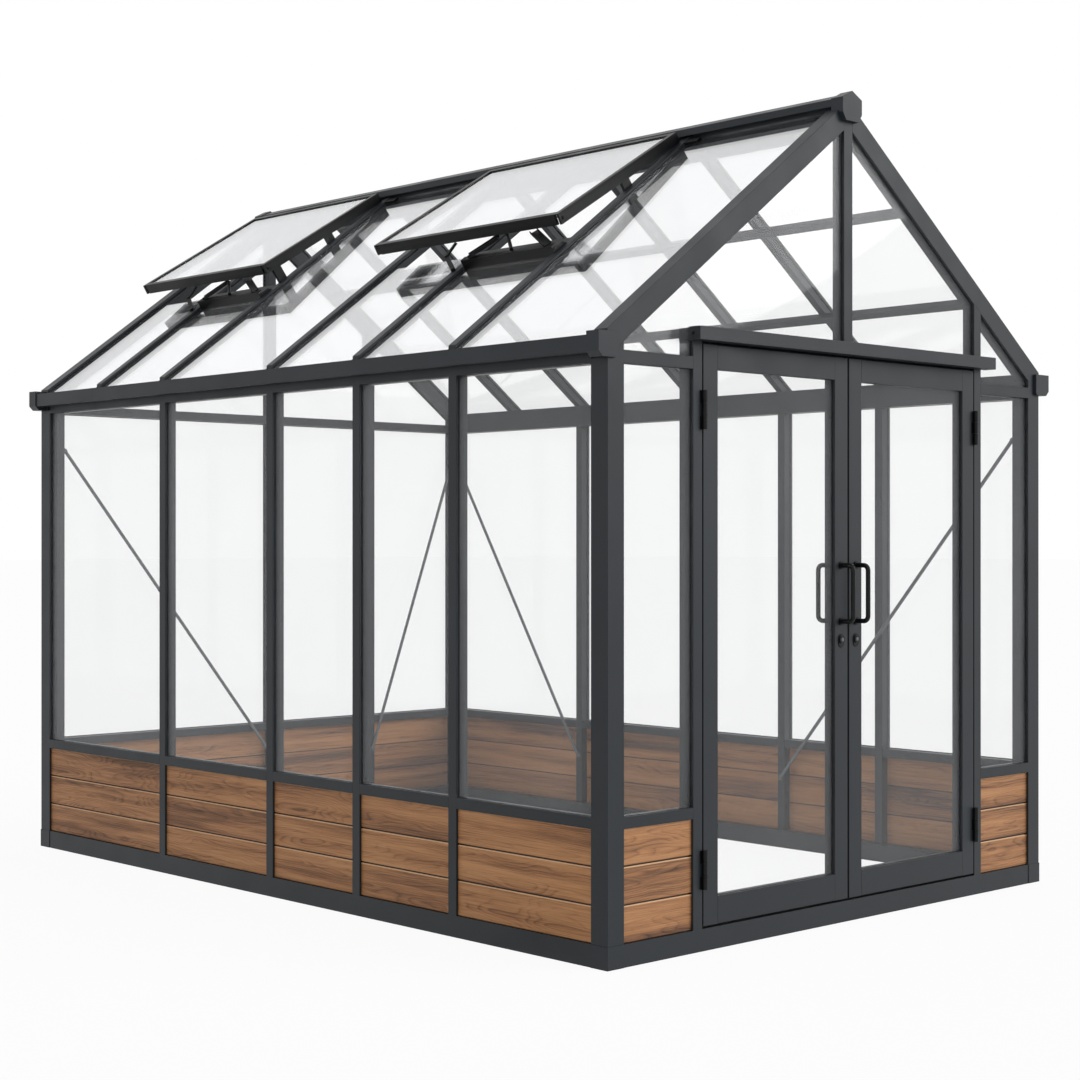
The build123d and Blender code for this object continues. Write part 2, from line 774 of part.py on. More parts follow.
def along_house(points, low, high):
    """Profile given by its distances down the left slope and heights over it, run from low to high."""
    across = Plane(origin=on_slope(0, low), x_dir=(-COS_P, 0, -SIN_P), z_dir=(0, 1, 0))
    with BuildSketch(across) as section:
        with BuildLine():
            Polyline(*points, close=True)
        make_face()
    extrude(section.sketch, amount=high - low)


WEB_S = SILL_END - SILL_WEB
FLANGE_S = SILL_END - SILL_FLANGE
FOOT_S = SILL_END + SILL_FOOT
SEAT_LOW = -REBATE - EDGE_PLAY
RAISED_SILL = (
    (SEAT_S, -SASH_SHEET),
    (WEB_S, -SASH_SHEET),
    (WEB_S, -ROOF_BAR_DEPTH),
    (FOOT_S, -ROOF_BAR_DEPTH),
    (FOOT_S, SEAT_LOW),
    (SILL_END, SEAT_LOW),
    (SILL_END, SILL_RISE),
    (FLANGE_S, SILL_RISE),
    (FLANGE_S, SILL_RISE - SASH_SHEET),
    (WEB_S, SILL_RISE - SASH_SHEET),
    (WEB_S, 0),
    (SEAT_S, 0),
)
TRANSOM = (
    (TRANSOM_S[0], -ROOF_BAR_DEPTH),
    (TRANSOM_S[1], -ROOF_BAR_DEPTH),
    (TRANSOM_S[1], SEAT_LOW),
    (TRANSOM_S[0], SEAT_LOW),
)
with BuildPart() as vent_sills:
    for front_bay, back_bay in VENT_BAYS:
        for i, points in ((front_bay, RAISED_SILL), (back_bay, TRANSOM)):
            low, high = roof_bays[i]
            along_house(points, low + SEAM, high - SEAM)
finish(vent_sills, "vent_sills")

# Openers: two channels and a piston from the sill to the sash, and a folding stay on the middle bar.
# Places along the house are distances from the front half-bay's ends and from its middle bar.
CHANNEL_W = 30.0
CHANNEL_D = 12.0
CHANNEL_T = 3.0
CHANNEL_FOOT_S = SILL_END - SILL_FLANGE / 2
CHANNEL_HEAD_T = SASH_LEN - 5.0
CHANNEL_FOOT_LIFT = 0.4
CHANNEL_HEAD_DROP = 1.6
CHANNEL_LEAN = 112.0
CHANNEL_BACK = 38.0
CHANNEL_FRONT = 25.0
PISTON_R = 6.5
PISTON_FOOT = 205.0
PISTON_HEAD = 270.0
STAY_W = 18.0
STAY_T = 6.0
STAY_FOOT = (SILL_END + 26.0, 10.0, 5.0)
STAY_ELBOW = (SILL_END - 36.0, 85.0, 32.0)
STAY_HEAD = (SASH_LEN - 6.0, 59.0, -4.0)
PIVOT_UNDER = 6.0
PIVOT_HIGH = 12.0

# Cleats under the ridge beside the vents, and brackets between a sash's front stile and its bar
CLEAT_S = (58.0, 84.0)
CLEAT_LONG = 62.0
CLEAT_LOW = -(REBATE - GLASS) + SEAM
CLEAT_HIGH = -2.0
BRACKET_LONG = 42.0
BRACKET_WIDE = 13.0
BRACKET_S = ((385.0,), (385.0, 690.0))
SILL_CHEEK = ((783.0, 0), (850.0, 0), (850.0, 15.0), (800.0, 15.0))


def on_sash(t, y, above=0.0):
    """Point beside a vent sash, t down from its hinge line."""
    return tuple(SASH.from_local_coords((y, t, above)))


def lying_section(start, end):
    """Plane across a run from start to end, with its X axis level with the slope."""
    run = Vector(*end) - Vector(*start)
    across = run.cross(Vector(*SLOPE_OUT)).normalized()
    return Plane(origin=start, x_dir=across, z_dir=run.normalized()), run.length


def channel(start, end):
    """Three-sided channel, open to the weather side."""
    plane, length = lying_section(start, end)
    with BuildSketch(plane) as section:
        Rectangle(CHANNEL_W, CHANNEL_D)
        with Locations((0, -CHANNEL_T / 2)):
            Rectangle(CHANNEL_W - 2 * CHANNEL_T, CHANNEL_D - CHANNEL_T, mode=Mode.SUBTRACT)
    extrude(section.sketch, amount=length)


def flat_bar(start, end):
    """Flat bar that lies with its wide side along the slope."""
    plane, length = lying_section(start, end)
    with BuildSketch(plane) as section:
        Rectangle(STAY_W, STAY_T)
    extrude(section.sketch, amount=length)


def pivot(place, height):
    """Round boss standing square to the slope."""
    with BuildSketch(Plane(origin=place, z_dir=SLOPE_OUT)) as boss:
        Circle(STAY_W / 2)
    extrude(boss.sketch, amount=height)


def sash_under(s):
    """Height of a sash's underside over the slope, s down from the ridge line."""
    return SASH_LIFT + (s - HINGE_S) * tan(radians(VENT_ANGLE)) - SEAM


def foot_on_sill(y):
    """Foot of an opener on the raised sill."""
    return on_slope(CHANNEL_FOOT_S, y, -SILL_RISE - CHANNEL_D / 2 - CHANNEL_FOOT_LIFT)


def head_on_sash(y):
    """Head of an opener under the sash's lower rail."""
    return on_sash(CHANNEL_HEAD_T, y, -CHANNEL_D / 2 - CHANNEL_HEAD_DROP)


with BuildPart() as vent_openers:
    for (front_bay, _), brackets in zip(VENT_BAYS, BRACKET_S):
        low, high = roof_bays[front_bay]
        channel(foot_on_sill(high - CHANNEL_BACK), head_on_sash(high - CHANNEL_BACK - CHANNEL_LEAN))
        channel(foot_on_sill(low + CHANNEL_FRONT), head_on_sash(low + CHANNEL_FRONT + CHANNEL_LEAN))
        rod(foot_on_sill(low + PISTON_FOOT), head_on_sash(low + PISTON_HEAD), PISTON_R)
        middle = high + ROOF_BAR_FACE / 2
        foot_s, foot_y, foot_up = STAY_FOOT
        elbow_s, elbow_y, elbow_up = STAY_ELBOW
        head_t, head_y, head_up = STAY_HEAD
        elbow = on_slope(elbow_s, middle + elbow_y, -elbow_up)
        flat_bar(on_slope(foot_s, middle + foot_y, -foot_up), elbow)
        flat_bar(elbow, on_sash(head_t, middle + head_y, head_up))
        pivot(on_slope(elbow_s, middle + elbow_y, PIVOT_UNDER - elbow_up), PIVOT_HIGH)
        pivot(on_slope(foot_s, middle + foot_y), PIVOT_HIGH)
        cleat = [(s, up) for s, up in zip(CLEAT_S + CLEAT_S[::-1], (CLEAT_LOW,) * 2 + (CLEAT_HIGH,) * 2)]
        cleat_high = roof_bays[front_bay - 1][1] - SEAM
        along_house(cleat, cleat_high - CLEAT_LONG, cleat_high)
        for s in brackets:
            end = s + BRACKET_LONG
            bracket = ((s, 0), (end, 0), (end, sash_under(end)), (s, sash_under(s)))
            along_house(bracket, low - BRACKET_WIDE - SEAM, low - SEAM)
        along_house(SILL_CHEEK, low - BRACKET_WIDE - SEAM, low - SEAM)
finish(vent_openers, "vent_openers")


# Door leaves: each is drawn as the left leaf and mirrored for the right
LEAF_IN = -OPENING_HALF + JAMB_GAP
LEAF_OUT = LEAF_IN + LEAF_W
LEAF_BACK = -HALF_L + LEAF_T
PIN_X = -OPENING_HALF + JAMB_GAP / 2
PIN_Y = -HALF_L - KNUCKLE_R
HANDLE_X = LEAF_OUT - STILE / 2 - 2


def leaf_stiles():
    """Hinge stile and meeting stile, grooved for the pane."""
    for x, side in ((LEAF_IN + STILE / 2, 1), (LEAF_OUT - STILE / 2, -1)):
        bar((x, -HALF_L, LEAF_LOW), (x, -HALF_L, LEAF_TOP), (0, -1, 0), STILE, LEAF_T, (-side,))


def leaf_rails():
    """Top and bottom rails between the stiles."""
    low_x = LEAF_IN + STILE + SEAM / 2
    high_x = LEAF_OUT - STILE - SEAM / 2
    for z, face, side in (
        (LEAF_TOP - TOP_RAIL / 2, TOP_RAIL, -1),
        (LEAF_LOW + BOTTOM_RAIL / 2, BOTTOM_RAIL, 1),
    ):
        bar((low_x, -HALF_L, z), (high_x, -HALF_L, z), (0, -1, 0), face, LEAF_T, (side,))


def leaf_glass():
    """Pane of one leaf."""
    block(
        (LEAF_IN + STILE - INTO, -HALF_L + REBATE - GLASS, LEAF_LOW + BOTTOM_RAIL - INTO),
        (LEAF_OUT - STILE + INTO, -HALF_L + REBATE, LEAF_TOP - TOP_RAIL + INTO),
    )


def rose(face_y, out, z, thick):
    """Round plate on one face of the leaf."""
    with BuildSketch(Plane(origin=(HANDLE_X, face_y, z), z_dir=(0, out, 0))) as plate:
        Circle(ROSE_R)
    extrude(plate.sketch, amount=thick)


def pull(face_y, out):
    """Bent round bar standing off the leaf, with a rose at each end."""
    reach = out * HANDLE_OUT
    low_z = HANDLE_Z - HANDLE_H / 2
    high_z = HANDLE_Z + HANDLE_H / 2
    with BuildLine() as route:
        Polyline(
            (HANDLE_X, face_y, low_z),
            (HANDLE_X, face_y + reach, low_z),
            (HANDLE_X, face_y + reach, high_z),
            (HANDLE_X, face_y, high_z),
        )
        corners = route.vertices().group_by(Axis.Y)[0 if out < 0 else -1]
        fillet(corners, radius=HANDLE_BEND)
    with BuildSketch(Plane(origin=(HANDLE_X, face_y, low_z), z_dir=(0, out, 0))) as section:
        Circle(HANDLE_R)
    sweep(section.sketch, path=route.line)
    for z in (low_z, high_z):
        rose(face_y, out, z, 5)


def leaf_handles():
    """Pull and key cylinder on both faces of one leaf."""
    for face_y, out in ((-HALF_L, -1), (LEAF_BACK, 1)):
        pull(face_y, out)
        rose(face_y, out, LOCK_Z, 7)


def knuckle(low, high, bore):
    """One barrel of a hinge round the pin."""
    with BuildSketch(Plane.XY.offset(low)) as barrel:
        with Locations((PIN_X, PIN_Y)):
            Circle(KNUCKLE_R)
            if bore:
                Circle(PIN_R + PIN_PLAY, mode=Mode.SUBTRACT)
    extrude(barrel.sketch, amount=high - low)


def leaf_hinges():
    """Middle barrel and plate of both hinges of one leaf."""
    for z in HINGE_Z:
        low = z - HINGE_H / 6 + KNUCKLE_GAP / 2
        high = z + HINGE_H / 6 - KNUCKLE_GAP / 2
        block(
            (PIN_X + JAMB_GAP / 2 + 0.5, -HALF_L - PLATE_T, low),
            (PIN_X + HINGE_PLATE, -HALF_L, high),
        )
        knuckle(low, high, True)


def jamb_hinges():
    """Outer barrels, pin and plate of both hinges on one jamb."""
    for z in HINGE_Z:
        for low, high in (
            (z - HINGE_H / 2, z - HINGE_H / 6 - KNUCKLE_GAP / 2),
            (z + HINGE_H / 6 + KNUCKLE_GAP / 2, z + HINGE_H / 2),
        ):
            block(
                (PIN_X - HINGE_PLATE, -HALF_L - PLATE_T, low),
                (PIN_X - JAMB_GAP / 2 - 0.5, -HALF_L, high),
            )
            knuckle(low, high, False)
        with BuildSketch(Plane.XY.offset(z - HINGE_H / 2)) as pin:
            with Locations((PIN_X, PIN_Y)):
                Circle(PIN_R)
        extrude(pin.sketch, amount=HINGE_H)


with BuildPart() as door_hinge_jamb_plates:
    jamb_hinges()
    mirror(about=Plane.YZ)
finish(door_hinge_jamb_plates, "jamb_hinges")

LEAF_PARTS = (
    ("stiles", leaf_stiles),
    ("rails", leaf_rails),
    ("glass", leaf_glass),
    ("handles", leaf_handles),
    ("hinges", leaf_hinges),
)
for name, draw in LEAF_PARTS:
    with BuildPart() as left_piece:
        draw()
    with BuildPart() as right_piece:
        add(mirror(left_piece.part, about=Plane.YZ))
    finish(left_piece, f"left_door_{name}")
    finish(right_piece, f"right_door_{name}")
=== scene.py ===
"""Looks of the glass greenhouse: boards, seals, locks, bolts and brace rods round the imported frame.

Metres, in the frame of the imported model: X across the gable, Y along the house, doors at -Y, Z up.
"""

import json
import math
import random

import bmesh
import bpy
from mathutils import Euler, Matrix, Vector

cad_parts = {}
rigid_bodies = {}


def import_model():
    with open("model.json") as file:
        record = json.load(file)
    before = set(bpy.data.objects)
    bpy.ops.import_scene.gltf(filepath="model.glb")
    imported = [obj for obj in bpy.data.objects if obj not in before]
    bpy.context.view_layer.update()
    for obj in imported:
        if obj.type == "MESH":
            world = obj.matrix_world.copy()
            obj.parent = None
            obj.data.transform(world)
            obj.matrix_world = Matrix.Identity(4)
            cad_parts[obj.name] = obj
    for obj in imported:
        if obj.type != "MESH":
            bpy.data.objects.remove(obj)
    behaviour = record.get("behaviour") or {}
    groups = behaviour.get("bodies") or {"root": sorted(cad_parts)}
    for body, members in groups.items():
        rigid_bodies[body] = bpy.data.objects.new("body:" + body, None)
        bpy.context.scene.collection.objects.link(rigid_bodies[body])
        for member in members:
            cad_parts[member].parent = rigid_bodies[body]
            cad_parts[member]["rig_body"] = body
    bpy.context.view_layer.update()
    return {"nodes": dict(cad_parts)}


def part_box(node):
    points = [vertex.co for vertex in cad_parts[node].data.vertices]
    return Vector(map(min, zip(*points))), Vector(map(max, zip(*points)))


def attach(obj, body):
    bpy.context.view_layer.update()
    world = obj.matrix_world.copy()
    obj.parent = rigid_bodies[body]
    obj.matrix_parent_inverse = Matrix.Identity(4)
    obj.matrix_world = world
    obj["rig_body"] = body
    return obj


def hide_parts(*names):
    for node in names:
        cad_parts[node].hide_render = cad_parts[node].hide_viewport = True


# Camera, at the photograph's place and angle
CAMERA_AT = (-5.3493, -5.8630, 1.2783)
CAMERA_TURN_DEG = 43.17
CAMERA_TILT_DEG = 0.05
LENS_MM = 66.36
SENSOR_MM = 36.0
CLIP_END = 300.0

# Stage
FLOOR_HALF = 120.0
FLOOR_COLOUR = (0.93, 0.925, 0.915, 1.0)
FLOOR_ROUGH = 0.9
FLOOR_SHINE = 0.1
SKY_LIGHT = 0.55
SKY_COLOUR = (0.96, 0.98, 1.0, 1.0)
WHITE = (1.0, 1.0, 1.0, 1.0)
FLOOR_WHITENESS = 0.93
KEY_TOWARDS = (-0.6, 0.72, -0.42)
KEY_STRENGTH = 1.48
KEY_SOFTNESS_DEG = 40
FILL_TOWARDS = (0.85, 0.25, -0.5)
FILL_STRENGTH = 0.2
FILL_SOFTNESS_DEG = 50

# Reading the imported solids
WELD = 1e-5
FLAT_WITHIN = 0.005
INSIDE = (0, 0, 1.2)

# An edge runs along the house if at least this share of it does
ALONG_SHARE = 0.5

# Glazing: how the panes sit in their grooves
PANE_INTO = 0.008
CAP_BACK = 0.008
GLASS_FACE = 0.012
SEAL_LIP = 0.0013

# Glass
THROUGH = (0.996, 0.997, 0.997, 1.0)
GLOSS = (0.985, 0.99, 1.0, 1.0)
GLOSS_ROUGH = 0.02
DUST = (0.97, 0.985, 1.0, 1.0)
DUST_SCALE = 2.4
DUST_UNEVEN = 0.15
MIRROR_LEAST = 0.012
MIRROR_SPAN = 0.95

# Powder coat: darkest and lightest tone beside the colour, and height of the orange peel
COAT_DARK = 0.86
COAT_LIGHT = 1.16
PEEL = 0.00006

# Plinth boards
BOARDS_PER_PANEL = 3
BOARD_GAP = 0.0042
BOARD_BEVEL = 0.0030
TONGUE = 0.006
TONGUE_FRONT = 0.72
TONGUE_BACK = 0.96
EDGE_FADE = 0.0006
TONGUE_SLACK = 0.0003
TONGUE_ROOM = 0.001

# Painted light on a board's section: painted shade in the gaps and on the lower edge, a painted highlight on
# the top edge
GAP_SHADE = 1.0
LOWER_EDGE_SHADE = 0.6
FACE = 0.0
TOP_EDGE_HIGHLIGHT = -1.0

# Where each board is cut from its log, and how light it is
LOG_ALONG = (0, 40)
LOG_UP = (-0.07, 0.07)
LOG_OFFSET = (0.030, 0.120)
BOARD_SHADE = (-0.6, 0.9)

# Grain, as repeats in a metre along, up and into the log
WANDER_REPEATS = (1.6, 9.0, 9.0)
STREAK_REPEATS = (1.3, 34.0, 34.0)
PATCH_REPEATS = (0.9, 13.0, 13.0)
FIBRE_REPEATS = (7.0, 420.0, 420.0)
PORE_REPEATS = (38.0, 1500.0, 1500.0)
RINGS_PER_METRE = 170.0

# How far the log's heart wanders, up and into the log
WANDER_UP = 0.07
WANDER_IN = 0.12
WANDER_APART = (31.0, 7.0, 3.0)

# How much each layer of the grain darkens the wood, and a board's shade lightens it
STREAK_DARKENS = 0.45
PATCH_DARKENS = 0.45
FIBRE_DARKENS = 0.42
PORES_DARKEN = 0.16
SHADE_LIGHTENS = 0.22

# Wood colours as screen levels
WOOD_PALE = (190, 138, 92)
WOOD_MIDDLE = (165, 115, 74)
WOOD_BROWN = (130, 89, 59)
WOOD_DEEP = (80, 55, 38)
# Painted highlight for the boards' top edges
PAINTED_EDGE_HIGHLIGHT = (232, 190, 148)
# Painted shade for the gaps between boards and their lower edges
PAINTED_GAP_SHADE = (34, 24, 18)

# Panes that take another glass than the walls
ROOF_PANES = {
    "roof_glass_left": "roof_glass",
    "vent_glass": "roof_glass",
    "roof_glass_right": "far_roof_glass",
}

# Door seals, from the leaf's front face and edges
MEETING_SEAL = 0.0034
MEETING_SEAL_Y = (0.012, 0.034)
EDGE_SEAL_Y = (0.014, 0.030)
HEAD_SEAL = 0.0055
FOOT_SEAL = 0.006
SEAL_SHORT = 0.001
SEAL_END = 0.002
SEAL_EASE = 0.0008

# Locks
LOCK_Z = 0.950
LOCK_ROSE_MOST = 0.03
ESCUTCHEON = (0.0150, 0.0230)
ESCUTCHEON_T = 0.0026
ESCUTCHEON_EASE = 0.0008
ESCUTCHEON_DROP = 0.004
PLUG_R = 0.0062
PLUG_PROUD = (-0.0006, 0.0010)
PLUG_EASE = 0.0003
KEYWAY = (0.0006, 0.0036)
KEYWAY_PROUD = (0.0006, 0.0012)
KEYWAY_EASE = 0.0001

# Bolts, as radius and height of the head
STILE_MOST = 0.03
CANOPY_BOLT = (0.007, 0.004)
CANOPY_BOLT_BACK = 0.006
CANOPY_BOLT_UP = 0.021
SASH_BOLT = (0.0065, 0.0035)
SASH_BOLT_UP = 0.016
BRACE_BOLT = (0.0075, 0.0045)
SQUARE_ON = 0.99

# Braces
ROD_R = 0.007
ROD_EASE = 0.001
LUG = 0.010
PLATE_R = 0.011
PLATE_T = 0.00805
PLATE_EASE = 0.0008


def srgb(*levels):
    """Linear colour of 0 to 255 screen levels."""
    out = []
    for level in levels:
        c = level / 255
        out.append(c / 12.92 if c <= 0.04045 else ((c + 0.055) / 1.055) ** 2.4)
    return (*out, 1.0)


# Stage


def make_camera():
    """Camera where the photograph was taken."""
    data = bpy.data.cameras.new("camera")
    data.lens = LENS_MM
    data.sensor_width = SENSOR_MM
    data.clip_end = CLIP_END
    camera = bpy.data.objects.new("camera", data)
    camera.location = CAMERA_AT
    turn = math.radians(CAMERA_TURN_DEG)
    tilt = math.radians(CAMERA_TILT_DEG)
    camera.rotation_euler = Euler((math.pi / 2 + tilt, 0, -turn))
    bpy.context.scene.collection.objects.link(camera)
    bpy.context.scene.camera = camera


def seen_directly(tree):
    """Factor that is 1 for rays that show a background: from the camera, a mirror or through glass."""
    path = tree.nodes.new("ShaderNodeLightPath")
    total = path.outputs["Is Camera Ray"]
    for name in ("Is Glossy Ray", "Is Transmission Ray"):
        add = tree.nodes.new("ShaderNodeMath")
        add.operation = "MAXIMUM"
        tree.links.new(total, add.inputs[0])
        tree.links.new(path.outputs[name], add.inputs[1])
        total = add.outputs[0]
    return total


def make_world():
    """White surroundings that light the object at a plain level."""
    world = bpy.data.worlds.new("studio")
    bpy.context.scene.world = world
    world.use_nodes = True
    tree = world.node_tree
    tree.nodes.clear()
    shown = tree.nodes.new("ShaderNodeBackground")
    shown.inputs["Color"].default_value = WHITE
    shown.inputs["Strength"].default_value = 1.0
    lights = tree.nodes.new("ShaderNodeBackground")
    lights.inputs["Color"].default_value = SKY_COLOUR
    lights.inputs["Strength"].default_value = SKY_LIGHT
    mix = tree.nodes.new("ShaderNodeMixShader")
    out = tree.nodes.new("ShaderNodeOutputWorld")
    tree.links.new(seen_directly(tree), mix.inputs["Fac"])
    tree.links.new(lights.outputs[0], mix.inputs[1])
    tree.links.new(shown.outputs[0], mix.inputs[2])
    tree.links.new(mix.outputs[0], out.inputs["Surface"])


def make_floor():
    """Plain pale floor that keeps a soft shadow."""
    half = FLOOR_HALF
    corners = [(-half, -half, 0), (half, -half, 0), (half, half, 0), (-half, half, 0)]
    mesh = bpy.data.meshes.new("floor")
    mesh.from_pydata(corners, [], [(0, 1, 2, 3)])
    floor = bpy.data.objects.new("floor", mesh)
    bpy.context.scene.collection.objects.link(floor)
    mat = bpy.data.materials.new("floor")
    mat.use_nodes = True
    tree = mat.node_tree
    surface = tree.nodes["Principled BSDF"]
    surface.inputs["Base Color"].default_value = FLOOR_COLOUR
    surface.inputs["Roughness"].default_value = FLOOR_ROUGH
    surface.inputs["Specular IOR Level"].default_value = FLOOR_SHINE
    glow = tree.nodes.new("ShaderNodeEmission")
    share = tree.nodes.new("ShaderNodeMath")
    share.operation = "MULTIPLY"
    share.inputs[1].default_value = FLOOR_WHITENESS
    mix = tree.nodes.new("ShaderNodeMixShader")
    tree.links.new(seen_directly(tree), share.inputs[0])
    tree.links.new(share.outputs[0], mix.inputs["Fac"])
    tree.links.new(surface.outputs[0], mix.inputs[1])
    tree.links.new(glow.outputs[0], mix.inputs[2])
    tree.links.new(mix.outputs[0], tree.nodes["Material Output"].inputs["Surface"])
    mesh.materials.append(mat)


def make_sun(name, towards, strength, softness_deg):
    """Soft lamp shining along a direction."""
    data = bpy.data.lights.new(name, "SUN")
    data.energy = strength
    data.angle = math.radians(softness_deg)
    lamp = bpy.data.objects.new(name, data)
    lamp.rotation_mode = "QUATERNION"
    lamp.rotation_quaternion = Vector(towards).to_track_quat("-Z", "Y")
    bpy.context.scene.collection.objects.link(lamp)


# Materials


class Nodes:
    """Short names for adding and linking shader nodes."""

    def __init__(self, name):
        self.mat = bpy.data.materials.new(name)
        self.mat.use_nodes = True
        self.tree = self.mat.node_tree
        self.surface = self.tree.nodes["Principled BSDF"]
        self.out = self.tree.nodes["Material Output"]

    def add(self, kind, **values):
        node = self.tree.nodes.new("ShaderNode" + kind)
        for key, value in values.items():
            setattr(node, key, value)
        return node

    def put(self, value, socket):
        """Link a socket or set a value."""
        if isinstance(value, bpy.types.NodeSocket):
            self.tree.links.new(value, socket)
        elif value is not None:
            socket.default_value = value

    def math(self, operation, a, b=None, c=None):
        node = self.add("Math", operation=operation)
        for value, socket in zip((a, b, c), node.inputs):
            self.put(value, socket)
        return node.outputs[0]

    def vector(self, operation, a, b):
        node = self.add("VectorMath", operation=operation)
        self.put(a, node.inputs[0])
        self.put(b, node.inputs[1])
        return node.outputs[0]

    def noise(self, at, scale, detail=2.0, rough=0.5):
        node = self.add("TexNoise")
        self.put(at, node.inputs["Vector"])
        node.inputs["Scale"].default_value = scale
        node.inputs["Detail"].default_value = detail
        node.inputs["Roughness"].default_value = rough
        return node.outputs[0]

    def ramp(self, factor, *stops):
        node = self.add("ValToRGB")
        self.put(factor, node.inputs[0])
        elements = node.color_ramp.elements
        while len(elements) < len(stops):
            elements.new(0.5)
        for element, (place, colour) in zip(elements, stops):
            element.position = place
            element.color = colour
        return node.outputs[0]

    def mix(self, factor, a, b):
        node = self.add("Mix", data_type="RGBA")
        self.put(factor, node.inputs[0])
        self.put(a, node.inputs[6])
        self.put(b, node.inputs[7])
        return node.outputs[2]

    def between(self, value, low, high, new_low, new_high):
        node = self.add("MapRange")
        for v, socket in zip((value, low, high, new_low, new_high), node.inputs):
            self.put(v, socket)
        return node.outputs[0]

    def bump(self, height, distance, strength):
        node = self.add("Bump")
        node.inputs["Strength"].default_value = strength
        node.inputs["Distance"].default_value = distance
        self.put(height, node.inputs["Height"])
        return node.outputs[0]

    def blend_shaders(self, factor, a, b):
        node = self.add("MixShader")
        self.put(factor, node.inputs["Fac"])
        self.tree.links.new(a.outputs[0], node.inputs[1])
        self.tree.links.new(b.outputs[0], node.inputs[2])
        return node

    def at(self):
        return self.add("TexCoord").outputs["Object"]

    def set(self, name, value):
        self.put(value, self.surface.inputs[name])


def powder_coat(name, colour, rough, shine):
    """Baked powder paint: slight tone drift, uneven gloss and a fine orange peel."""
    n = Nodes(name)
    at = n.at()
    drift = n.noise(at, 1.7, 3.0)
    speck = n.noise(at, 900.0, 1.0)
    dark = tuple(c * COAT_DARK for c in colour[:3]) + (1,)
    light = tuple(c * COAT_LIGHT for c in colour[:3]) + (1,)
    tone = n.between(drift, 0.3, 0.7, 0.0, 1.0)
    n.set("Base Color", n.mix(n.math("MULTIPLY_ADD", speck, 0.3, n.math("MULTIPLY", tone, 0.7)), dark, light))
    n.set("Roughness", n.between(n.noise(at, 6.0, 4.0), 0.3, 0.7, rough - 0.05, rough + 0.07))
    n.set("Specular IOR Level", shine)
    n.set("Normal", n.bump(n.noise(at, 480.0, 2.0), PEEL, 0.6))
    return n.mat


def rubber():
    """Black glazing rubber with a dry, faintly dusty skin."""
    n = Nodes("rubber")
    at = n.at()
    n.set("Base Color", n.mix(n.noise(at, 35.0, 4.0), srgb(14, 14, 15), srgb(27, 27, 28)))
    n.set("Roughness", n.between(n.noise(at, 60.0, 2.0), 0.3, 0.7, 0.62, 0.82))
    n.set("Specular IOR Level", 0.3)
    n.set("Normal", n.bump(n.noise(at, 700.0, 1.0), 0.00005, 0.5))
    return n.mat


def steel():
    """Dull galvanised rod with a faint spangle."""
    n = Nodes("steel")
    at = n.at()
    spangle = n.add("TexVoronoi")
    n.put(at, spangle.inputs["Vector"])
    spangle.inputs["Scale"].default_value = 160.0
    n.set("Base Color", n.mix(spangle.outputs["Distance"], srgb(86, 89, 92), srgb(112, 115, 118)))
    n.set("Metallic", 0.55)
    n.set("Roughness", n.between(n.noise(at, 90.0, 3.0), 0.3, 0.7, 0.42, 0.6))
    return n.mat


def clear_glass(name, film, veil):
    """Float glass: clear head on, mirroring more and more at a slant, under a thin dusty film."""
    n = Nodes(name)
    n.tree.nodes.remove(n.surface)
    facing = n.add("LayerWeight")
    facing.inputs["Blend"].default_value = 0.5
    slant = n.math("POWER", facing.outputs["Facing"], veil)
    mirror = n.math("MULTIPLY_ADD", slant, MIRROR_SPAN, MIRROR_LEAST)
    through = n.add("BsdfTransparent")
    through.inputs["Color"].default_value = THROUGH
    gloss = n.add("BsdfGlossy")
    gloss.inputs["Color"].default_value = GLOSS
    gloss.inputs["Roughness"].default_value = GLOSS_ROUGH
    dust_front = n.add("BsdfDiffuse")
    dust_back = n.add("BsdfTranslucent")
    for dust in (dust_front, dust_back):
        dust.inputs["Color"].default_value = DUST
    clean = n.blend_shaders(mirror, through, gloss)
    dusty = n.blend_shaders(0.5, dust_front, dust_back)
    patches = n.noise(n.at(), DUST_SCALE, 3.0)
    amount = n.between(patches, 0.3, 0.7, film * (1 - DUST_UNEVEN), film * (1 + DUST_UNEVEN))
    whole = n.blend_shaders(amount, clean, dusty)
    n.tree.links.new(whole.outputs[0], n.out.inputs["Surface"])
    return n.mat


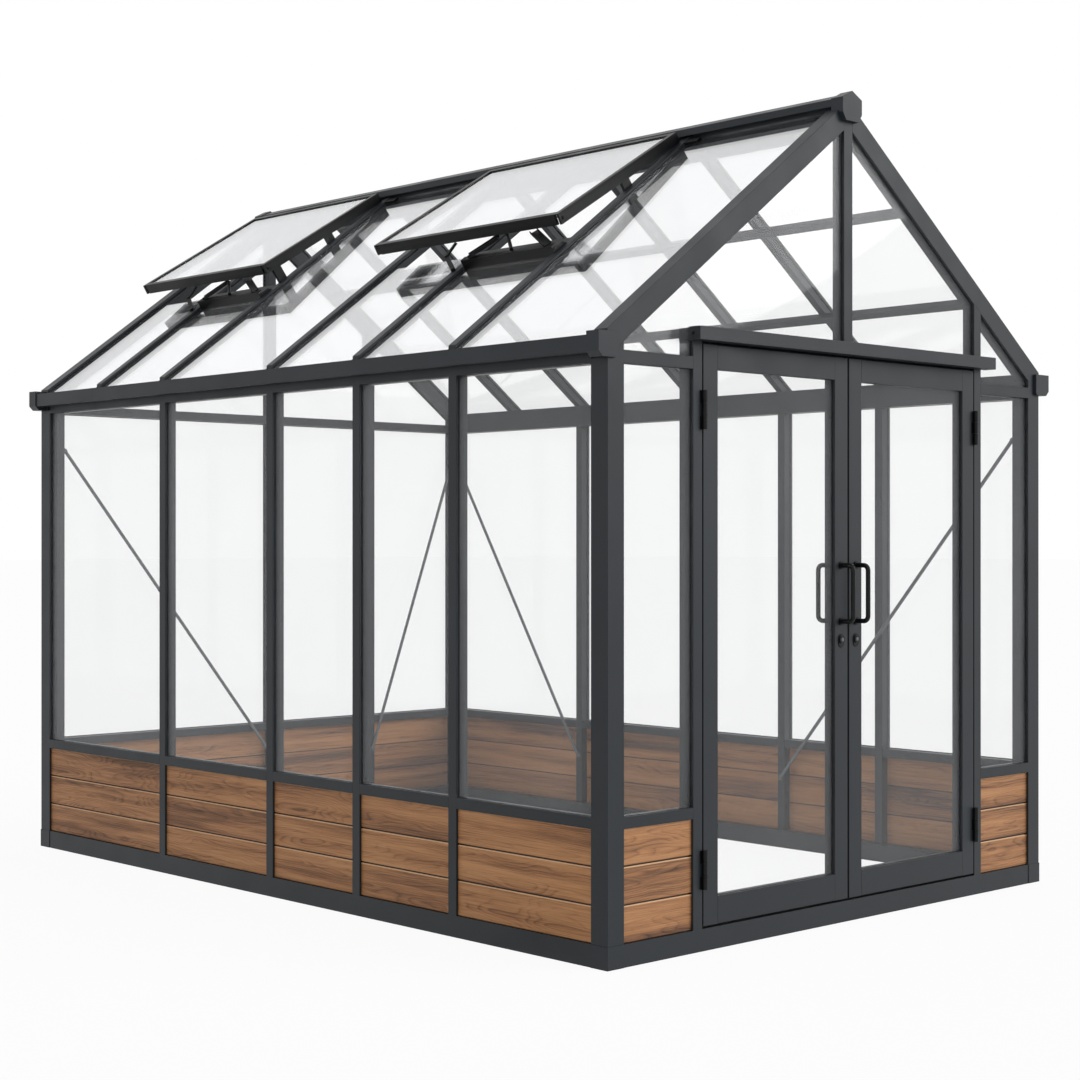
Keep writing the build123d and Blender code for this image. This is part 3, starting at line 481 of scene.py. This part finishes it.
def oiled_wood():
    """Flat-sawn hardwood: growth rings cut along a wandering log, pores and a drifting tone."""
    # Besides its grain, the wood takes painted shade in the board gaps and on the lower edges, and a painted
    # highlight on the top edges
    n = Nodes("oiled_wood")
    place = n.add("Attribute", attribute_name="grain").outputs["Vector"]
    tone = n.add("Attribute", attribute_name="tone").outputs["Fac"]
    painted_light = n.add("Attribute", attribute_name="painted_light").outputs["Fac"]
    along = n.add("SeparateXYZ")
    n.put(place, along.inputs[0])
    slow = n.vector("MULTIPLY", place, WANDER_REPEATS)
    wander = n.noise(slow, 1.0, 2.0)
    wander_too = n.noise(n.vector("ADD", slow, WANDER_APART), 1.0, 2.0)
    across = n.math("MULTIPLY_ADD", wander, WANDER_UP, n.math("SUBTRACT", along.outputs[1], WANDER_UP / 2))
    deep = n.math("MULTIPLY_ADD", wander_too, WANDER_IN, n.math("SUBTRACT", along.outputs[2], WANDER_IN / 2))
    reach = n.math("SQRT", n.math("ADD", n.math("MULTIPLY", across, across), n.math("MULTIPLY", deep, deep)))
    rings = n.math("FRACT", n.math("MULTIPLY", reach, RINGS_PER_METRE))
    ring_dark = n.ramp(
        rings,
        (0.0, (0.35, 0.35, 0.35, 1)),
        (0.22, (0.0, 0.0, 0.0, 1)),
        (0.7, (0.35, 0.35, 0.35, 1)),
        (0.93, (1, 1, 1, 1)),
        (1.0, (0.35, 0.35, 0.35, 1)),
    )
    fibre = n.noise(n.vector("MULTIPLY", place, FIBRE_REPEATS), 1.0, 3.0, 0.6)
    streak = n.noise(n.vector("MULTIPLY", place, STREAK_REPEATS), 1.0, 4.0, 0.6)
    pores = n.noise(n.vector("MULTIPLY", place, PORE_REPEATS), 1.0, 1.0)
    patch = n.noise(n.vector("MULTIPLY", place, PATCH_REPEATS), 1.0, 2.0)
    amount = n.math("MULTIPLY", ring_dark, n.between(streak, 0.35, 0.7, 0.10, 0.42))
    amount = n.math("MULTIPLY_ADD", n.between(streak, 0.3, 0.72, 0.0, 1.0), STREAK_DARKENS, amount)
    amount = n.math("MULTIPLY_ADD", n.between(patch, 0.5, 0.75, 0.0, 1.0), PATCH_DARKENS, amount)
    amount = n.math("MULTIPLY_ADD", n.between(fibre, 0.3, 0.7, -0.5, 0.5), FIBRE_DARKENS, amount)
    amount = n.math("MULTIPLY_ADD", n.between(pores, 0.62, 0.7, 0.0, 1.0), PORES_DARKEN, amount)
    colour = n.ramp(
        n.math("SUBTRACT", amount, n.math("MULTIPLY", tone, SHADE_LIGHTENS)),
        (0.0, srgb(*WOOD_PALE)),
        (0.35, srgb(*WOOD_MIDDLE)),
        (0.62, srgb(*WOOD_BROWN)),
        (1.0, srgb(*WOOD_DEEP)),
    )
    # Painted highlight on the boards' top edges
    lit = n.mix(n.between(painted_light, FACE, TOP_EDGE_HIGHLIGHT, 0.0, 0.85), colour, srgb(*PAINTED_EDGE_HIGHLIGHT))
    # Painted shade in the gaps between boards and on their lower edges
    n.set("Base Color", n.mix(n.between(painted_light, FACE, GAP_SHADE, 0.0, 1.0), lit, srgb(*PAINTED_GAP_SHADE)))
    n.set("Roughness", n.between(amount, 0.0, 1.0, 0.46, 0.66))
    n.set("Specular IOR Level", 0.35)
    n.set("Normal", n.bump(n.math("MULTIPLY_ADD", amount, -1.0, n.math("MULTIPLY", fibre, 0.6)), 0.0007, 0.5))
    return n.mat


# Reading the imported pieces


def solids(node):
    """The node's separate solids, each as a list of its faces' normals, areas and outlines."""
    whole = bmesh.new()
    whole.from_mesh(nodes[node].data)
    bmesh.ops.remove_doubles(whole, verts=whole.verts, dist=WELD)
    bmesh.ops.dissolve_limit(whole, angle_limit=FLAT_WITHIN, verts=whole.verts, edges=whole.edges)
    found = []
    left = set(whole.verts)
    while left:
        group = {left.pop()}
        edge = list(group)
        while edge:
            vert = edge.pop()
            for e in vert.link_edges:
                other = e.other_vert(vert)
                if other not in group:
                    group.add(other)
                    edge.append(other)
        left -= group
        faces = {f for v in group for f in v.link_faces}
        found.append([(f.normal.copy(), f.calc_area(), [v.co.copy() for v in f.verts]) for f in faces])
    whole.free()
    found.sort(key=lambda solid: tuple(min(tuple(p) for _, _, loop in solid for p in loop)))
    return found


def box_of(solid):
    """Lowest and highest corner of one solid."""
    points = [p for _, _, loop in solid for p in loop]
    low = Vector([min(p[i] for p in points) for i in range(3)])
    high = Vector([max(p[i] for p in points) for i in range(3)])
    return low, high


def outer_face(solid):
    """Outline and normal of a pane's face on the weather side."""
    middle = Vector(INSIDE)
    faces = []
    for normal, area, loop in solid:
        centre = sum(loop, Vector()) / len(loop)
        faces.append((area if normal.dot(centre - middle) > 0 else 0, tuple(normal), loop))
    _, normal, loop = max(faces, key=lambda f: f[0])
    return Vector(normal), loop


# Making shapes and pieces


def piece(name, mesh, material, body, slot, *replaced):
    """Link a finished mesh, give it its material and let it ride."""
    obj = bpy.data.objects.new(name, mesh)
    bpy.context.scene.collection.objects.link(obj)
    mesh.materials.append(material)
    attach(obj, body)
    if replaced:
        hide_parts(*replaced)


def mesh_of(name, bm):
    """Turn a bmesh into a mesh with its normals outwards."""
    bmesh.ops.recalc_face_normals(bm, faces=bm.faces)
    mesh = bpy.data.meshes.new(name)
    bm.to_mesh(mesh)
    bm.free()
    return mesh


def loft(bm, rings, endless=False):
    """Skin over a row of rings with the same number of points, capped unless it runs back into itself."""
    rows = [[bm.verts.new(p) for p in ring] for ring in rings]
    pairs = list(zip(rows, rows[1:]))
    if endless:
        pairs.append((rows[-1], rows[0]))
    for a, b in pairs:
        for i in range(len(a)):
            j = (i + 1) % len(a)
            bm.faces.new((a[i], a[j], b[j], b[i]))
    if not endless:
        bm.faces.new(rows[0])
        bm.faces.new(reversed(rows[-1]))


def inset_loop(loop, normal, by):
    """Outline moved inwards in its own plane."""
    count = len(loop)
    centre = sum(loop, Vector()) / count
    out = []
    for i, p in enumerate(loop):
        before = (p - loop[i - 1]).normalized()
        after = (loop[(i + 1) % count] - p).normalized()
        in_before = normal.cross(before)
        in_after = normal.cross(after)
        bend = in_before + in_after
        out.append(p + bend * (by / max(1e-6, 1 + in_before.dot(in_after))))
    first = (loop[1] - loop[0]).normalized()
    if normal.cross(first).dot(centre - loop[0]) < 0:
        raise ValueError("the outline runs the wrong way round")
    return out


# Outline of a glazing seal, as inset from the pane's edge and height over its face
SEAL_HEIGHT = GLASS_FACE - CAP_BACK
SEAL_PROFILE = (
    (0.0004, 0.0001),
    (0.0004, SEAL_HEIGHT - 0.0003),
    (PANE_INTO - 0.0006, SEAL_HEIGHT - 0.0003),
    (PANE_INTO + SEAL_LIP * 0.7, SEAL_HEIGHT - 0.0009),
    (PANE_INTO + SEAL_LIP, SEAL_HEIGHT - 0.0018),
    (PANE_INTO + SEAL_LIP, 0.0010),
    (PANE_INTO + SEAL_LIP * 0.4, 0.0001),
)


def seal_sections(loop, normal):
    """The seal's outline at each corner of a pane."""
    rings = [[p + normal * height for p in inset_loop(loop, normal, by)] for by, height in SEAL_PROFILE]
    return [[ring[i] for ring in rings] for i in range(len(loop))]


def seals_round(name, node_names, body, slanted=False):
    """Black rubber between the panes and the caps of their bars. On the roof only beside the bars."""
    bm = bmesh.new()
    for node in node_names:
        for solid in solids(node):
            normal, loop = outer_face(solid)
            sections = seal_sections(loop, normal)
            if not slanted:
                loft(bm, sections, endless=True)
                continue
            for i in range(len(loop)):
                j = (i + 1) % len(loop)
                run = loop[j] - loop[i]
                if abs(run.y) < ALONG_SHARE * run.length:
                    loft(bm, [sections[i], sections[j]])
    piece(name, mesh_of(name, bm), materials["rubber"], body, "black_metal")


def board_profile(height, thick, first, last):
    """Section of a tongued board as (depth, height, wear), with depth from its front face.

    Painted light above 0 is painted shade in a gap and on the lower edge, below 0 a painted highlight on the
    top edge.
    """
    b = BOARD_BEVEL
    tongue_front = thick * TONGUE_FRONT
    tongue_back = thick * TONGUE_BACK
    slack = TONGUE_SLACK
    points = [(0, b, FACE), (0, height - b - EDGE_FADE, FACE)]
    points += [(0, height - b, TOP_EDGE_HIGHLIGHT), (b, height, TOP_EDGE_HIGHLIGHT)]
    if not last:
        top = height + BOARD_GAP + TONGUE
        points += [(b + EDGE_FADE, height, GAP_SHADE), (tongue_front, height, GAP_SHADE)]
        points += [(tongue_front, top, GAP_SHADE), (tongue_back, top, GAP_SHADE), (tongue_back, height, GAP_SHADE)]
    points += [(thick, height, FACE), (thick, 0, FACE)]
    if not first:
        top = TONGUE + TONGUE_ROOM
        points += [(tongue_back + slack, 0, GAP_SHADE), (tongue_back + slack, top, GAP_SHADE)]
        points += [(tongue_front - slack, top, GAP_SHADE), (tongue_front - slack, 0, GAP_SHADE)]
    points.append((b, 0, LOWER_EDGE_SHADE))
    return points


def boards(name, node, draw):
    """Tongued boards in every plinth panel of a node."""
    bm = bmesh.new()
    grain = bm.verts.layers.float_vector.new("grain")
    tone = bm.verts.layers.float.new("tone")
    painted_light = bm.verts.layers.float.new("painted_light")
    for solid in solids(node):
        low, high = box_of(solid)
        size = high - low
        across = 0 if size.x < size.y else 1
        length_axis = 1 - across
        outwards = 1 if (low + high)[across] > 0 else -1
        front = high[across] if outwards > 0 else low[across]
        height = (size.z - (BOARDS_PER_PANEL - 1) * BOARD_GAP) / BOARDS_PER_PANEL
        for k in range(BOARDS_PER_PANEL):
            profile = board_profile(height, size[across], k == 0, k == BOARDS_PER_PANEL - 1)
            foot = low.z + k * (height + BOARD_GAP)
            log = Vector((draw.uniform(*LOG_ALONG), draw.uniform(*LOG_UP), draw.uniform(*LOG_OFFSET)))
            shade = draw.uniform(*BOARD_SHADE)
            sections = []
            for end in (low[length_axis], high[length_axis]):
                section = []
                for depth, up, _ in profile:
                    p = Vector((0, 0, foot + up))
                    p[across] = front - outwards * depth
                    p[length_axis] = end
                    section.append(p)
                sections.append(section)
            start = len(bm.verts)
            loft(bm, sections)
            bm.verts.ensure_lookup_table()
            for i, vert in enumerate(bm.verts[start:]):
                depth = abs(vert.co[across] - front)
                spot = Vector((vert.co[length_axis], vert.co.z - foot - height / 2, depth))
                vert[grain] = spot + log
                vert[tone] = shade
                # Painted shade and painted highlight for each corner of the section
                vert[painted_light] = profile[i % len(profile)][2]
    body = nodes[node]["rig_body"]
    piece(name, mesh_of(name, bm), materials["boards"], body, "boards", node)


def stand_on(at, axis):
    """Placement whose Z runs along the axis."""
    return Matrix.Translation(at) @ Vector(axis).to_track_quat("Z", "Y").to_matrix().to_4x4()


def screw_head(bm, at, axis, radius, height):
    """Low domed head with a hexagonal socket."""
    place = stand_on(at, axis)
    sides = 18
    corner = math.pi / 3
    rings = []
    for share, rise, hexagonal in (
        (1.0, 0.0, False),
        (1.0, 0.35, False),
        (0.82, 0.8, False),
        (0.55, 1.0, False),
        (0.42, 1.0, True),
        (0.42, 0.4, True),
    ):
        ring = []
        for i in range(sides):
            a = 2 * math.pi * i / sides
            flat = math.cos(corner / 2) / math.cos((a % corner) - corner / 2) if hexagonal else 1.0
            reach = radius * share * flat
            ring.append(place @ Vector((reach * math.cos(a), reach * math.sin(a), height * rise)))
        rings.append(ring)
    loft(bm, rings)


def boss(bm, place, half_w, half_h, low, high, ease):
    """Raised plate with round ends and an eased rim."""
    sides = 32
    rings = []
    for height, inset in ((low, 0.0), (high - ease, 0.0), (high, ease)):
        ring = []
        for i in range(sides):
            a = 2 * math.pi * (i + 0.5) / sides
            shift = math.copysign(half_h - half_w, math.sin(a))
            reach = half_w - inset
            ring.append(place @ Vector((reach * math.cos(a), reach * math.sin(a) + shift, height)))
        rings.append(ring)
    loft(bm, rings)


def strip(bm, low, high):
    """Rubber strip between two corners, with eased edges."""
    verts = bmesh.ops.create_cube(bm, size=1.0)["verts"]
    size = Vector(high) - Vector(low)
    for v in verts:
        v.co = Vector([low[i] + (v.co[i] + 0.5) * size[i] for i in range(3)])
    edges = list({e for v in verts for e in v.link_edges})
    bmesh.ops.bevel(bm, geom=edges, offset=SEAL_EASE, segments=2, affect="EDGES", profile=0.5)


def door_seals():
    """Rubber along the meeting edge, the top and the foot of each leaf."""
    for side, sign in (("left", -1), ("right", 1)):
        low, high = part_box(f"{side}_door_stiles")
        bm = bmesh.new()
        meeting = high.x if sign < 0 else low.x
        x_pair = sorted((meeting, meeting - sign * MEETING_SEAL))
        front, back = (low.y + depth for depth in MEETING_SEAL_Y)
        strip(bm, (x_pair[0], front, low.z + SEAL_SHORT), (x_pair[1], back, high.z - SEAL_SHORT))
        front, back = (low.y + depth for depth in EDGE_SEAL_Y)
        for foot, head in ((low.z - FOOT_SEAL, low.z), (high.z, high.z + HEAD_SEAL)):
            strip(bm, (low.x + SEAL_END, front, foot), (high.x - SEAL_END, back, head))
        name = f"{side}_door_edge_seals"
        piece(name, mesh_of(name, bm), materials["rubber"], f"{side}_door", "black_metal")


def key_cylinders(side):
    """Escutcheon and key plug at each lock rose of one leaf."""
    plates = bmesh.new()
    plugs = bmesh.new()
    leaf_low, leaf_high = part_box(f"{side}_door_stiles")
    for solid in solids(f"{side}_door_handles"):
        low, high = box_of(solid)
        if high.z - low.z > LOCK_ROSE_MOST:
            continue
        middle = (low + high) / 2
        if abs(middle.z - LOCK_Z) > LOCK_ROSE_MOST:
            continue
        outwards = -1 if middle.y < leaf_low.y else 1
        face = leaf_low.y if outwards < 0 else leaf_high.y
        proud = high.y - low.y
        place = stand_on(Vector((middle.x, face, middle.z)), (0, outwards, 0))
        up = 1 if place[2][1] > 0 else -1
        lower = place @ Matrix.Translation((0, -up * ESCUTCHEON_DROP, 0))
        boss(plates, lower, *ESCUTCHEON, 0.0, ESCUTCHEON_T, ESCUTCHEON_EASE)
        boss(plugs, place, PLUG_R, PLUG_R, *(proud + p for p in PLUG_PROUD), PLUG_EASE)
        boss(plates, place, *KEYWAY, *(proud + p for p in KEYWAY_PROUD), KEYWAY_EASE)
    body = f"{side}_door"
    escutcheons = mesh_of("escutcheons", plates)
    piece(f"{side}_door_escutcheons", escutcheons, materials["black_metal"], body, "black_metal")
    piece(f"{side}_door_key_plugs", mesh_of("key_plugs", plugs), materials["plug"], body, "rods")


def bolts():
    """Bolts at the canopy's ends and near the lower end of each sash stile."""
    bm = bmesh.new()
    low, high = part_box("door_canopy")
    y = (low.y + high.y) / 2 + CANOPY_BOLT_BACK
    for x, axis in ((low.x, (-1, 0, 0)), (high.x, (1, 0, 0))):
        screw_head(bm, Vector((x, y, low.z + CANOPY_BOLT_UP)), axis, *CANOPY_BOLT)
    for solid in solids("vent_sashes"):
        low, high = box_of(solid)
        if high.y - low.y > STILE_MOST:
            continue
        for side in (-1, 1):
            loop = max((f for f in solid if f[0].y * side > SQUARE_ON), key=lambda f: f[1])[2]
            by_height = sorted(loop, key=lambda p: p.z)
            foot = (by_height[0] + by_height[1]) / 2
            head = (by_height[-1] + by_height[-2]) / 2
            at = foot + (head - foot).normalized() * SASH_BOLT_UP
            screw_head(bm, at, (0, side, 0), *SASH_BOLT)
    piece("house_bolts", mesh_of("house_bolts", bm), materials["black_metal"], "house", "black_metal")


def braces():
    """Round rods across the corners, each ending in a bolted plate."""
    bm = bmesh.new()
    for solid in solids("wall_braces"):
        low, high = box_of(solid)
        across = 0 if high.x - low.x < high.y - low.y else 1
        along = 1 - across
        inwards = -1 if low[across] > 0 else 1
        wall = high[across] if inwards < 0 else low[across]
        by_post, by_middle = sorted((low[along] + LUG, high[along] - LUG), key=abs, reverse=True)
        ends = []
        for spot, up in ((by_post, high.z - LUG), (by_middle, low.z + LUG)):
            p = Vector((0, 0, up))
            p[across] = wall + inwards * ROD_R
            p[along] = spot
            ends.append(p)
        run = (ends[1] - ends[0]).normalized()
        place = stand_on(ends[0], run)
        length = (ends[1] - ends[0]).length
        boss(bm, place, ROD_R, ROD_R, 0.0, length, ROD_EASE)
        facing = Vector()
        facing[across] = inwards
        for p in ends:
            foot = p.copy()
            foot[across] = wall
            plate = stand_on(foot, facing)
            boss(bm, plate, PLATE_R, PLATE_R, 0.0, PLATE_T, PLATE_EASE)
            foot[across] = wall + inwards * PLATE_T
            screw_head(bm, foot, facing, *BRACE_BOLT)
    rods = mesh_of("brace_rods", bm)
    piece("brace_rods", rods, materials["rods"], "house", "rods", "wall_braces")


def dress_nodes():
    """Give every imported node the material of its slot, and the roof's panes their own."""
    for name, node in nodes.items():
        for slot in node.material_slots:
            slot.material = materials[ROOF_PANES.get(name, slot.material.name)]


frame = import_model()
nodes = frame["nodes"]

make_camera()
make_world()
make_floor()
make_sun("key", KEY_TOWARDS, KEY_STRENGTH, KEY_SOFTNESS_DEG)
make_sun("fill", FILL_TOWARDS, FILL_STRENGTH, FILL_SOFTNESS_DEG)
bpy.context.scene.view_settings.view_transform = "Standard"

materials = {
    "frame": powder_coat("frame_coat", srgb(39, 43, 47), rough=0.40, shine=0.24),
    "black_metal": powder_coat("black_coat", srgb(11, 12, 14), rough=0.38, shine=0.2),
    "rods": steel(),
    "glass": clear_glass("pane_glass", film=0.045, veil=5.5),
    "roof_glass": clear_glass("roof_glass", film=0.02, veil=2.0),
    "far_roof_glass": clear_glass("far_roof_glass", film=0.02, veil=4.2),
    "boards": oiled_wood(),
    "rubber": rubber(),
    "plug": steel(),
}
dress_nodes()
boards("side_plinth_boards", "side_boards", random.Random(11))
boards("end_plinth_boards", "end_boards", random.Random(23))
seals_round("wall_glazing_seals", ("side_glass", "end_glass", "gable_glass"), "house")
seals_round("roof_glazing_seals", ("roof_glass_left", "roof_glass_right"), "house", slanted=True)
seals_round("left_door_glazing_seal", ("left_door_glass",), "left_door")
seals_round("right_door_glazing_seal", ("right_door_glass",), "right_door")
door_seals()
for side in ("left", "right"):
    key_cylinders(side)
bolts()
braces()
